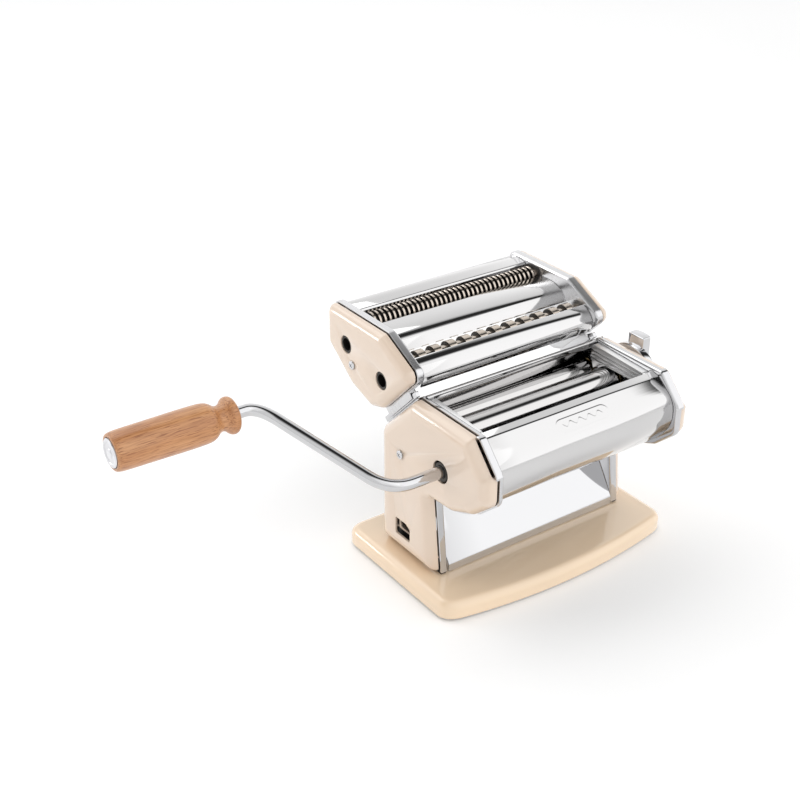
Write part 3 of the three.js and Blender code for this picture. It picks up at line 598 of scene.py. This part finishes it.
def base_outline(distance, steps=14):
    """The base's outline, moved inwards by a distance."""
    half, rear = BASE["half"] - distance, BASE["rear"] - distance
    bow, centre = BASE["bow"] - distance, BASE["front"] + BASE["bow"]
    corner = max(0.5, BASE["corner"] - distance)
    edge_x = half - corner

    def nose(x):
        return centre - math.sqrt(bow * bow - x * x)

    def curve(start, control, end):
        return [quadratic(start, control, end, k / steps) for k in range(steps + 1)]

    points = curve((-edge_x, rear), (-half, rear), (-half, rear - corner))
    points += curve((-half, nose(edge_x) + corner), (-half, nose(half)), (-edge_x, nose(edge_x)))
    points += [(x, nose(x)) for x in [edge_x * (k / 12 - 1) for k in range(1, 24)]]
    points += curve((edge_x, nose(edge_x)), (half, nose(half)), (half, nose(edge_x) + corner))
    points += curve((half, rear - corner), (half, rear), (edge_x, rear))
    return points


def stack(layers):
    """A closed solid from (z, distance) layers of the base's outline."""
    verts = [(x, y, z) for z, distance in layers for x, y in base_outline(distance)]
    return solid_of_rings(verts, len(verts) // len(layers))


def build_base():
    radius, wall, top = BASE["edge"], BASE["wall"], BASE["top"]
    layers = [(top - wall, radius + 2), (top - wall, radius)]
    layers += [
        (top - radius + (radius - wall) * math.cos(a), radius - (radius - wall) * math.sin(a))
        for a in arc(0, 90, 6)
    ]
    layers += [(2.0, wall), (1.6, wall - 0.4), (1.6, 0.4), (2.0, 0)]
    layers += [
        (top - radius + radius * math.sin(a), radius * (1 - math.cos(a))) for a in arc(0, 90, 10)
    ]
    layers += [(top, radius + 1.5)]
    holes = [
        upright_rod(side * FOOT_SCREW["x"], FOOT_SCREW["y"], FOOT_SCREW["hole"], 8, 20)
        for side in (-1, 1)
    ]
    tray = boolean(stack(layers), holes)
    place("base_tray", tray, BASE_ENAMEL, "frame", "cream_paint", ["base_plate"])
    mat = [(0, 3.2), (0.4, 2.8), (3.6, 2.6), (4, 3.2), (4, 5)]
    place("base_rubber", stack(mat), RUBBER, "frame", "rubber", ["base_mat"])


# ----------------------------------------------------- side plates and covers


def pressed_plate(corners, side):
    """A flat web with a rim folded outwards all round it."""
    fold = 2.0
    profile = [
        (SPAN + WEB, WEB + 2.5), (SPAN + WEB, WEB), (RIM - 0.4, WEB), (RIM, WEB - 0.4),
        (RIM, 0.4), (RIM - 0.4, 0),
    ]
    profile += [
        (SPAN + fold * (1 - math.sin(a)), fold * (1 - math.cos(a))) for a in arc(0, 90, 6)
    ]
    profile += [(SPAN, fold + 1)]
    return loft(shrink(corners, side, profile))


def dished_cover(corners, side, fillet, rim=RIM):
    """A painted shell, open towards the plate, with its lip just outside the plate's rim."""
    wall = 1.6
    inner = fillet - wall
    low = rim + GAP
    profile = [(FACE - wall, fillet + 1.2)]
    profile += [
        (FACE - fillet + inner * math.sin(a), fillet - inner * math.cos(a)) for a in arc(90, 0, 6)
    ]
    profile += [(low, wall), (low, 0.3), (low + 0.3, 0)]
    profile += [
        (FACE - fillet + fillet * math.sin(a), fillet * (1 - math.cos(a)))
        for a in arc(0, 90, 10)
    ]
    profile += [(FACE, fillet + 1)]
    return loft(shrink(corners, side, profile))


def bore(centre, radius, side, start=60, end=110, count=40):
    return rod(centre, radius, side * start, side * end, count)


def window(corners, side):
    return prism(rounded(corners, 4), side * 60, side * 110)


def screw(name, centre, side, body, node):
    """Pan-head screw with a cross recess."""
    profile = [
        (89.35, 0.1), (89.35, 2.9), (89.7, 3.2), (90.1, 3.05), (90.4, 2.4), (90.56, 1.3),
        (90.6, 0.1),
    ]
    head = loft([(side * x, circle(centre, r, 40)) for x, r in profile])
    y, z = centre
    middle, depth, long, short = side * 90.1, 0.6, 1.7, 0.35
    recess = [
        box((middle - depth, y - dy, z - dz), (middle + depth, y + dy, z + dz))
        for dy, dz in ((long, short), (short, long))
    ]
    for tool in recess:
        bmesh.ops.rotate(
            tool, verts=tool.verts, cent=Vector((0, y, z)) * MM, matrix=rotation_x(35),
        )
        bmesh.ops.translate(tool, verts=tool.verts, vec=Vector((side * 0.4, 0, 0)) * MM)
    head = boolean(head, recess)
    shank = rod(centre, 1.5, side * 85, side * 89.4, 20)
    place(name, combined([head, shank]), CHROME, body, "steel", [node])


def side_box(side, near, far, low, high):
    """A box between two distances from the middle and two (y, z) corners."""
    xs = sorted((side * near, side * far))
    return box((xs[0], *low), (xs[1], *high))


def in_shadow(x, y, z, normal):
    """Faces of a main plate in its foot, round the clamp's hole and behind the crank's hole, where
    the dark steel colour paints their shade.
    """
    foot = z < 17 and abs(x) > SPAN + WEB + 0.2
    hole = x < 0 and 1 < y < 20 and 28 < z < 43 and abs(normal[0]) < 0.5
    socket = x < 0 and math.dist((y, z), CRANK_AXIS) < 9.5
    return foot or hole or socket


def build_main_side(side, name):
    (y, z), (half_y, half_z) = BEARING_SLOT
    slot = [
        (y - half_y, z - half_z, 0.5), (y + half_y, z - half_z, 0.5),
        (y + half_y, z + half_z, 0.5), (y - half_y, z + half_z, 0.5),
    ]
    plate_cuts = [
        side_box(side, MAIN_RIM, 83, (-58, 137.2), (3.4, 145)),
        side_box(side, MAIN_RIM, 83, (-100, 60), (-53, 117.4)),
        bore(FRONT_AXIS, 7.3, side), bore(LOWER_ROD, 4.3, side), bore(UPPER_ROD, 4.3, side),
        window(slot, side),
        upright_rod(side * FOOT_SCREW["x"], FOOT_SCREW["y"], FOOT_SCREW["hole"], 10, 25),
    ]
    cover_cuts = [bore(COVER_SCREW, 2, side)]
    if side < 0:
        plate_cuts += [bore(CRANK_AXIS, 7.3, side), window(CLAMP_HOLE, side)]
        cover_cuts += [bore(CRANK_AXIS, 8, side, count=64), window(CLAMP_HOLE, side)]
    else:
        cover_cuts += [bore(FRONT_AXIS, 6.4, side)]
    plate = boolean(pressed_plate(MAIN_SIDE, side), plate_cuts)
    piece = place(name + "_plate", plate, CHROME, "frame", "chrome", [name + "_side_plate"])
    # painted shade: the foot, the edges round the clamp's hole and the ring behind the crank's hole
    # get the dark steel colour
    paint_shade(piece, in_shadow)
    cover_cuts += [
        side_box(side, 70, RIM + GAP, (-52, 0), (60, 134)),
        side_box(side, 70, RIM + GAP, (-100, 117.8), (-57, 145)),
        side_box(side, 70, RIM + GAP, (2.4, 133), (60, 145)),
    ]
    cover = boolean(dished_cover(MAIN_COVER, side, fillet=8.6, rim=MAIN_RIM), cover_cuts)
    place(
        name + "_cover", cover, ENAMEL, "frame", "cream_paint", [name + "_side_cover"],
        bevel=0.4, bevel_angle=70,
    )
    screw(name + "_screw", COVER_SCREW, side, "frame", name + "_cover_screw")


# ------------------------------------------------------- rails, guides, sheets

RAIL_SUM = 144.5  # y + z along the plates' rear slope, which the rails lie on


def slope_outline(low, high, start, end, radius):
    """A bar's section on the slope: its heights above it and its ends along it."""
    base = RAIL_SUM / math.sqrt(2)

    def spot(along, above):
        return (
            (base + above + along) / math.sqrt(2), (base + above - along) / math.sqrt(2), radius,
        )

    corners = [spot(start, low), spot(end, low), spot(end, high), spot(start, high)]
    return rounded(corners, 4)


def build_rails():
    for side, name in ((-1, "left"), (1, "right")):
        bar = prism(slope_outline(0.4, 4.4, -92, -43, 0.6), side * 76.6, side * 79.6)
        place(
            name + "_slope_rail", bar, CHROME, "frame", "chrome", [name + "_rail"], bevel=0.25,
        )


def build_guides():
    """Cheeks that keep the dough off the plates, with ridges along them."""
    ridges = [126.5, 129.5, 132.5]
    for side, name in ((-1, "left"), (1, "right")):
        outline = [
            (-50, 125.4, 1), (-9, 125.4, 1), (-0.8, 119.1, 0.6), (1.6, 125.4, 1),
            (1.6, 137.2, 2), (-50, 135, 2),
        ]
        plate = prism(rounded(outline, 4), side * 69.5, side * SHEET_END)
        cuts = [
            rod(axis, 12.6, side * 60, side * 80, 64)
            for axis in (FRONT_AXIS, REAR_AXIS, REAR_CLOSED)
        ]
        for z in ridges:
            low_x, high_x = sorted((side * 69.2, side * 70.4))
            cuts.append(box((low_x, -60, z - 0.55), (high_x, 20, z + 0.55)))
        plate = boolean(plate, cuts)
        place(
            name + "_cheek", plate, SATIN_CHROME, "frame", "chrome", [name + "_dough_guide"],
            bevel=0.22, bevel_angle=40,
        )


FRONT_SHEET = [
    (-53, 136.4, 0), (-58.4, 135.2, 0.9), (-70.4, 126, 7), (-73.6, 121.4, 7), (-75, 115.5, 7),
    (-74.8, 108.5, 7), (-72, 101, 7), (-66, 93, 7), (-59, 86, 7), (-50, 80.4, 7), (-40, 77, 0),
]
REAR_SHEET = [
    (11, 121.5, 0), (2.9, 134.4, 1), (2.9, 138, 1), (5.6, 137.2, 1), (36, 106.4, 4),
    (37.4, 103, 4), (37.4, 74, 0),
]
CHUTE = [(-24, 14.8, 0), (-24, 20.4, 0.8), (16, 82, 3), (35.6, 82, 0)]
EMBLEM = (0.0, 10.2)  # its middle: x, and the distance down the front cover from its top bend


def emblem_relief(x, point):
    """A shallow pressed emblem: a ring round one wavy noodle, and a short bar below it."""
    if point[0] > FRONT_SHEET[1][0]:
        return 0.0
    across, along = x - EMBLEM[0], math.dist(point, FRONT_SHEET[1][:2]) - EMBLEM[1]
    ring = abs(math.hypot(max(0.0, abs(across) - 17), along) - 4.8)
    wave = abs(along - 1.5 * math.sin(across * 2 * math.pi / 8))
    wave = math.hypot(wave * 0.75, max(0.0, abs(across) - 16.4))
    bar = math.hypot(along - 7.6, max(0.0, abs(across) - 14))
    rise = max(0.0, 1 - (ring / 1.0) ** 2, 1 - (wave / 1.0) ** 2, 1 - (bar / 0.8) ** 2)
    return -0.12 * rise


def fine_path(points, low, high, step):
    """The path's points, with extra ones added between two distances along it."""
    path = smooth_path(points)
    dense, travelled = [path[0]], 0.0
    for p, q in zip(path, path[1:]):
        length = math.dist(p, q)
        if travelled + length > low and travelled < high and length > step:
            parts = math.ceil(length / step)
            dense += [
                (p[0] + (q[0] - p[0]) * k / parts, p[1] + (q[1] - p[1]) * k / parts)
                for k in range(1, parts)
            ]
        dense.append(q)
        travelled += length
    return dense


def build_sheets():
    stations = [-23.2 + 0.4 * k for k in range(117)]
    hood = sheet(fine_path(FRONT_SHEET, 9, 27, 0.33), 1.2, emblem_relief, stations)
    for name, shape, look, node in (
        ("front_hood", hood, SHEET_CHROME, "front_cover"),
        ("rear_hood", sheet(smooth_path(REAR_SHEET), 1.2), SHEET_CHROME, "rear_cover"),
        ("sheet_chute", sheet(smooth_path(CHUTE), 1.0), CHROME, "chute"),
    ):
        place(name, shape, look, "frame", "chrome", [node], smooth=40)
    for centre, name, look, slot in (
        (LOWER_ROD, "lower_tie_rod", ROD_CHROME, "chrome"),
        (UPPER_ROD, "upper_tie_rod", GROUND_STEEL, "steel"),
    ):
        bar = rod(centre, 4, -77.5, 77.5, 40, 0.5)
        place(name + "_bar", bar, look, "frame", slot, [name])


# --------------------------------------------------------------------- rollers


def build_smooth_rollers():
    for name, axis, right_end, body in (
        ("front", FRONT_AXIS, 78.2, "front_roller"), ("rear", REAR_AXIS, 78.8, "rear_roller"),
    ):
        profile = [
            (-84.6, 3.5), (-84.1, 4), (-72.5, 4), (-72.5, 11.6), (-72.3, 11.9), (-71.9, 12.2),
            (71.9, 12.2), (72.3, 11.9), (72.5, 11.6), (72.5, 4), (right_end - 0.5, 4),
            (right_end, 3.5),
        ]
        barrel = lathe(profile, axis, 96)
        place(name + "_barrel", barrel, ROLLER_STEEL, body, "chrome", [name + "_roller"])


def build_cutter_roller(name, spec, centre, shift, body, node):
    """A row of cutting wheels; shift puts the mate's wheels into the driver's grooves."""
    radius, groove, journal, half = 7.2, 4.8, 3.5, 72.0
    wheel = spec["pitch"] / 2 - 0.35
    profile = [
        (-81.7, journal - 0.4), (-81.3, journal), (-half - 1.4, journal), (-half - 1.4, groove),
    ]
    x = -half + shift * spec["pitch"] / 2
    while x + wheel <= half + 0.01:
        profile += [
            (x, groove), (x, radius - 0.25), (x + 0.12, radius), (x + wheel - 0.12, radius),
            (x + wheel, radius - 0.25), (x + wheel, groove),
        ]
        x += spec["pitch"]
    profile += [(half + 1.4, groove), (half + 1.4, journal), (77.3, journal), (77.6, journal - 0.3)]
    piece = place(name, lathe(profile, centre, 40), CUTTER_STEEL, body, "steel", [node], smooth=40)

    # Painted shade in the grooves: faces deeper than 1.2 mm under the wheels' rims get the dark
    # steel colour, but the wide rollers' groove floors stay in the cutter steel.
    def groove_shade(x, y, z, _):
        distance = math.dist((y, z), centre)
        bright_floor = spec is WIDE and distance < groove + 0.1
        return distance < radius - 1.2 and abs(x) < half + 1 and not bright_floor

    paint_shade(piece, groove_shade)


# ------------------------------------------------------------------------ knob


def build_knob():
    y, z = FRONT_AXIS
    profile = [
        (92, 4.3), (92, 22.6), (92.4, 23.4), (93, 24), (96.6, 24), (97.6, 23.7), (98.6, 22.4),
        (99, 21.2), (99, 4.3),
    ]
    disc = lathe(profile, FRONT_AXIS, 96)
    half, low, top, inner, outer, bulge = 7.5, -15.0, 30.5, 96.3, 103.6, 3
    ends = (outer, -half), (outer + bulge, 0), (outer, half)
    bow = [(inner, -half), *(quadratic(*ends, k / 12) for k in range(13)), (inner, half)]
    wing = solid_of_rings([(px, y + py, z + pz) for pz in (low, top) for px, py in bow], len(bow))
    finish_mesh(wing, bevel=0.9, segments=4)
    knob = boolean(disc, [wing], "UNION")
    knob = boolean(knob, [rod(FRONT_AXIS, 4.3, 80, 102.3, 32)])
    place("gap_knob", knob, CHROME, "knob", "chrome", ["dial_knob"], bevel=0.15, bevel_angle=60)
    ticks = []
    for k in range(10):
        tick = box((98.9, -0.35, 15.5), (99.25, 0.35, 20))
        bmesh.ops.rotate(
            tick, verts=tick.verts, cent=Vector((0, 0, 0)), matrix=rotation_x(-60 - 24 * k),
        )
        bmesh.ops.translate(tick, verts=tick.verts, vec=Vector((0, y, z)) * MM)
        ticks.append(tick)
    place("gap_knob_ticks", combined(ticks), MARK, "knob", "chrome")
    shaft = rod(FRONT_AXIS, 4, 79.4, 102, 32, 0.5)
    place("gap_knob_shaft", shaft, GROUND_STEEL, "dial_shaft", "steel", ["dial_shaft"])


# ----------------------------------------------------------------------- crank


def crank_points():
    """Points along the bent rod, from its socket to the end of the grip's spindle."""
    rod_end, elbow_x, shoulder_x, spindle_end, bend = -78.4, -128.0, -170.0, -266.0, 17.5
    elbow, shoulder = Vector((elbow_x, *CRANK_AXIS)), Vector((shoulder_x, *GRIP_AXIS))
    arm = (shoulder - elbow).normalized()
    out = Vector((-1, 0, 0))
    bends = [
        (elbow - out * bend, elbow, elbow + arm * bend),
        (shoulder - arm * bend, shoulder, shoulder + out * bend * 0.56),
    ]
    points = [Vector((rod_end, *CRANK_AXIS)), Vector((rod_end - 0.6, *CRANK_AXIS))]
    for start, control, end in bends:
        points += [Vector(quadratic(start, control, end, k / 16)) for k in range(17)]
    points.append(Vector((spindle_end, *GRIP_AXIS)))
    return points


def build_crank():
    points, count, radius = crank_points(), 40, 4.2
    across = Vector((1, 0, 0)).cross(points[-1] - points[0]).normalized()
    verts = []
    for i, point in enumerate(points):
        along = (points[min(i + 1, len(points) - 1)] - points[max(i - 1, 0)]).normalized()
        side = across.cross(along).normalized()
        size = radius - 0.6 if i == 0 else radius
        for k in range(count):
            a = 2 * math.pi * k / count
            verts.append(point + (across * math.cos(a) + side * math.sin(a)) * size)
    bar = solid_of_rings(verts, count)
    place("crank_bar", bar, ROD_CHROME, "crank", "chrome", ["crank_rod"])


def build_grip():
    near = -187.0  # the grip's end that faces the machine
    grip = [
        (0, 9.0, 0), (0.3, 10.6, 0.4), (1.4, 12.2, 1.6), (3.5, 12.8, 2), (5.8, 12.1, 2),
        (7.6, 9.9, 2), (10.5, 8.4, 3), (14, 9.3, 3), (17, 12, 3), (21, 13.3, 4),
        (34, 13.6, 12), (80, 13.1, 3), (84.2, 12.7, 2), (85.8, 11.9, 1), (86, 10.4, 0),
    ]
    outer = [(near - d, r) for d, r in smooth_path(grip)]
    bored = [(near - 84, 4.4), (near - 84, 10.2), (near - 85.9, 10.2)]
    shell = [*outer, *bored[::-1][:2], (near - 84, 4.5), (near - 0.2, 4.5), (near, 4.9)]
    turned = lathe_ring(shell, GRIP_AXIS, 72)
    place("wooden_grip", turned, BEECH, "grip", "beech", ["crank_grip"], smooth=50)
    cap = [
        (near - 82.3, 0.1), (near - 82.3, 9.5), (near - 86.2, 9.8), (near - 86.6, 9.5),
        (near - 86.8, 8.9), (near - 86.7, 7.2), (near - 86.4, 6.8), (near - 86.4, 3.2),
        (near - 86.7, 2.8), (near - 86.7, 0.1),
    ]
    disc = lathe(cap, GRIP_AXIS, 64)
    place("grip_cap_disc", disc, CAP_METAL, "grip", "chrome", ["grip_end_cap"])


def lathe_ring(profile, centre, count):
    """A turned ring: its profile of (x, radius) closes on itself round a bore."""
    verts, faces = [], []
    for x, radius in profile:
        verts += [(x, y, z) for y, z in circle(centre, radius, count)]
    for first in range(0, len(verts), count):
        after = (first + count) % len(verts)
        for k in range(count):
            following = (k + 1) % count
            faces.append((first + k, first + following, after + following, after + k))
    return to_bmesh(verts, faces)


# ---------------------------------------------------------------------- cutter

CUTTER_SHEETS = {
    "cutter_rear_hood": ("cutter_rear_cover", [
        (84.2, 168.6, 0), (85, 169.8, 0.7), (95, 171.6, 4), (101, 170, 4), (103, 166, 4),
        (103, 148, 4), (99.6, 142, 0),
    ]),
    "cutter_divider": ("cutter_middle_cover", [
        (66.8, 163.6, 0), (66, 165.4, 0.9), (54, 165.6, 7), (46, 163.6, 6), (41.2, 160, 6),
        (38.8, 154.6, 0),
    ]),
    "cutter_front_hood": ("cutter_front_cover", [
        (20.2, 157.2, 0), (19.4, 159.4, 0.9), (13.6, 157, 5), (9.4, 152, 5), (8.4, 147, 5),
        (10.6, 142.4, 0),
    ]),
}


def build_cutter_side(side, name):
    """A plate with the channel that rides its rail, and the painted cover outside it."""
    journals = [FINE["drive"], FINE["mate"], WIDE["drive"], WIDE["mate"]]
    cuts = [bore(c, 3.8, side, count=24) for c in journals] + [bore(CUTTER_TIE, 4.3, side)]
    plate = boolean(pressed_plate(CUTTER_SIDE, side), cuts)
    groove = prism(slope_outline(-3, 5.4, -92, -47, 0.5), side * 76.2, side * 80)
    block = prism(slope_outline(1.2, 9, -87, -52, 0.4), side * 75.2, side * 81.0)
    channel = boolean(block, [groove])
    finish_mesh(channel, bevel=0.25)
    place(
        name + "_frame", combined([plate, channel]), PLATE_CHROME, "cutter", "chrome",
        [name + "_plate"],
    )
    holes = [bore(CUTTER_SCREW, 2, side)]
    if side < 0:
        holes += [bore(spec["drive"], 6.5, side, count=56) for spec in (FINE, WIDE)]
    shell = boolean(dished_cover(inset(CUTTER_SIDE, 1), side, fillet=6.6), holes)
    place(
        name + "_shell", shell, ENAMEL, "cutter", "cream_paint", [name + "_cover"],
        bevel=0.4, bevel_angle=70,
    )
    screw(name + "_pan_screw", CUTTER_SCREW, side, "cutter", name + "_screw")


def build_cutter():
    build_cutter_side(-1, "cutter_left")
    build_cutter_side(1, "cutter_right")
    for name, (node, points) in CUTTER_SHEETS.items():
        shape = sheet(smooth_path(points), 1.0)
        place(name, shape, SHEET_CHROME, "cutter", "chrome", [node], smooth=40)
    tie = rod(CUTTER_TIE, 4, -77.5, 77.5, 40, 0.5)
    place("cutter_tie_bar", tie, ROD_CHROME, "cutter", "chrome", ["cutter_tie_rod"])
    for kind, spec in (("fine", FINE), ("wide", WIDE)):
        for role, shift in (("drive", 0), ("mate", 1)):
            base = kind + "_" + role
            build_cutter_roller(base + "_discs", spec, spec[role], shift, base, base + "_roller")


build_base()
build_main_side(-1, "left")
build_main_side(1, "right")
build_rails()
build_guides()
build_sheets()
build_smooth_rollers()
build_knob()
build_crank()
build_grip()
build_cutter()

# ------------------------------------------------------ floor, light and camera


def build_floor():
    bpy.ops.mesh.primitive_plane_add(size=14, location=(0, 0, -0.0004))
    floor = bpy.context.object
    floor.name = "studio_floor"
    mat, tree, shader = principled("floor_paper", (0.93, 0.93, 0.93), 0.0, 0.85)
    low, high = (0.925, 0.925, 0.925), (0.935, 0.935, 0.935)
    tone = ramp(tree, noise(tree, 3, 2), [(0.3, low), (0.7, high)])
    tree.links.new(tone, shader.inputs["Base Color"])
    shader.inputs["Emission Color"].default_value = (1, 1, 1, 1)
    shader.inputs["Emission Strength"].default_value = 0.12
    floor.data.materials.append(mat)


def area_light(name, location, target, size, energy):
    data = bpy.data.lights.new(name, "AREA")
    data.shape = "RECTANGLE"
    data.size = size
    data.size_y = size
    data.energy = energy
    light = bpy.data.objects.new(name, data)
    light.location = location
    direction = Vector(target) - Vector(location)
    light.rotation_euler = direction.to_track_quat("-Z", "Y").to_euler()
    bpy.context.scene.collection.objects.link(light)


WORLD_TOP = 2.0  # the brightest grey level that the surroundings can hold


def build_world():
    """A pale studio, brighter in front and behind, with a dark strip overhead along the rollers."""
    world = bpy.data.worlds.new("studio")
    bpy.context.scene.world = world
    world.use_nodes = True
    tree = world.node_tree
    background = tree.nodes["Background"]
    coord = tree.nodes.new("ShaderNodeTexCoord")
    split = tree.nodes.new("ShaderNodeSeparateXYZ")
    tree.links.new(coord.outputs["Generated"], split.inputs["Vector"])
    turn = tree.nodes.new("ShaderNodeMath")
    turn.operation = "ARCTAN2"
    tree.links.new(split.outputs["Z"], turn.inputs[0])
    tree.links.new(split.outputs["Y"], turn.inputs[1])
    angle = spread(tree, turn.outputs["Value"], 0, 1, -math.pi, math.pi)

    def strips(levels):
        """Grey levels by angle about the rollers, in degrees up from the back."""
        return ramp(tree, angle, [((d + 180) / 360, (v / WORLD_TOP,) * 3) for d, v in levels])

    right = strips([
        (-180, 1.0), (-8, 1.0), (2, 1.3), (20, 1.25), (34, 1.15), (55, 1.03), (70, 0.95),
        (77, 0.6), (81, 0.03), (96, 0.03), (100, 0.35), (104, 1.1), (107, 1.45), (176, 1.5),
        (179, 1.0),
    ])
    left = strips([
        (-180, 1.0), (0, 1.0), (60, 0.95), (72, 0.6), (78, 0.03), (97, 0.03), (103, 0.6),
        (108, 0.95), (179, 0.95),
    ])
    mix = tree.nodes.new("ShaderNodeMix")
    mix.data_type = "RGBA"
    tree.links.new(spread(tree, split.outputs["X"], 0, 1, -0.3, 0.2), mix.inputs[0])
    tree.links.new(left, mix.inputs[6])
    tree.links.new(right, mix.inputs[7])
    tree.links.new(mix.outputs[2], background.inputs["Color"])
    background.inputs["Strength"].default_value = WORLD_TOP


CAMERA_DOWN, CAMERA_ROUND = 28.5, 35.09  # degrees below level, and round from the front


def build_camera():
    data = bpy.data.cameras.new("photo_view")
    data.lens = 59.94
    data.sensor_width = 36
    data.clip_start, data.clip_end = 0.05, 50
    camera = bpy.data.objects.new("photo_view", data)
    camera.location = (-0.5307, -0.6152, 0.5531)
    camera.rotation_euler = (math.radians(90 - CAMERA_DOWN), 0, math.radians(-CAMERA_ROUND))
    bpy.context.scene.collection.objects.link(camera)
    bpy.context.scene.camera = camera


build_floor()
build_world()
build_camera()
area_light("top_softbox", (-0.4, 0.8, 1.4), (0, 0, 0.05), 1.3, 6)
area_light("front_softbox", (-0.45, -1.1, 1.3), (0, 0, 0.05), 1.2, 1.0)
area_light("edge_light", (-1.25, 1.45, 0.5), (0, 0, 0.1), 0.42, 4)

bpy.context.scene.view_settings.view_transform = "Standard"
